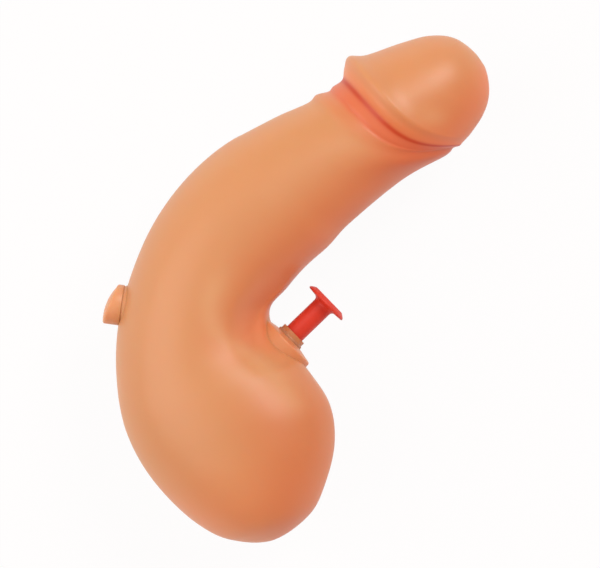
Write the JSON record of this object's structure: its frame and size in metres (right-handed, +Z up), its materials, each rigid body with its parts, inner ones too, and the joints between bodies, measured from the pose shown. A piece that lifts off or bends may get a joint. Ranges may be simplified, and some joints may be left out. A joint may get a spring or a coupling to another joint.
{
  "type": "water squirter",
  "caption": "Adult novelty water squirter shaped as male anatomy: hollow moulded body lying on its side, with a push trigger, plunger pump, check valves, fill plug and jet nozzle.",
  "frame": {"origin": "centre of the outline's bounding box, on the surface that the squirter lies on", "axes": "the parting plane is parallel to XY; +X towards the side where the nozzle points, +Y from the grip's base towards the head, +Z up through the right shell"},
  "size_m": [0.1082, 0.142, 0.0472],
  "materials": {
    "flesh_pvc": "satin moulded plastic, with a red sprayed band behind the rim of the head",
    "red_plastic": "moulded",
    "tan_plastic": "moulded",
    "natural_plastic": "moulded, uncoloured",
    "clear_tube": "extruded, clear",
    "rubber": "moulded",
    "spring_steel": "stainless"
  },
  "bodies": {
    "body": {"left_shell": "flesh_pvc", "right_shell": "flesh_pvc", "trigger_collar": "tan_plastic", "stem_seal": "rubber", "barrel_gasket": "rubber", "pump_barrel": "natural_plastic", "return_spring": "spring_steel", "inlet_fitting": "natural_plastic", "dip_tube": "clear_tube", "outlet_tube": "clear_tube", "valve_seat": "natural_plastic", "outlet_spring": "spring_steel", "nozzle": "tan_plastic", "nozzle_washer": "rubber", "fill_neck": "flesh_pvc"},
    "trigger": {"trigger": "red_plastic", "piston": "natural_plastic", "piston_ring": "rubber"},
    "fill_plug": {"fill_plug": "flesh_pvc"},
    "inlet_ball": {"inlet_ball": "spring_steel"},
    "outlet_ball": {"outlet_ball": "spring_steel"}
  },
  "joints": [
    {"name": "trigger_press", "type": "slide", "parent": "body", "child": "trigger", "axis": [-0.7193, -0.6947, 0], "range_m": [0, 0.01], "stiffness_N_per_m": 400, "springref_m": -0.004, "deforming": ["return_spring"]},
    {"name": "plug_pull", "type": "slide", "parent": "body", "child": "fill_plug", "axis": [-0.991, 0.134, 0], "range_m": [0, 0.03]},
    {"name": "inlet_ball_lift", "type": "slide", "parent": "body", "child": "inlet_ball", "axis": [-0.2924, 0.9563, 0], "range_m": [0, 0.0012]},
    {"name": "outlet_ball_lift", "type": "slide", "parent": "body", "child": "outlet_ball", "axis": [0.8192, 0.5736, 0], "range_m": [0, 0.0012], "stiffness_N_per_m": 10, "springref_m": -0.002, "deforming": ["outlet_spring"]}
  ]
}
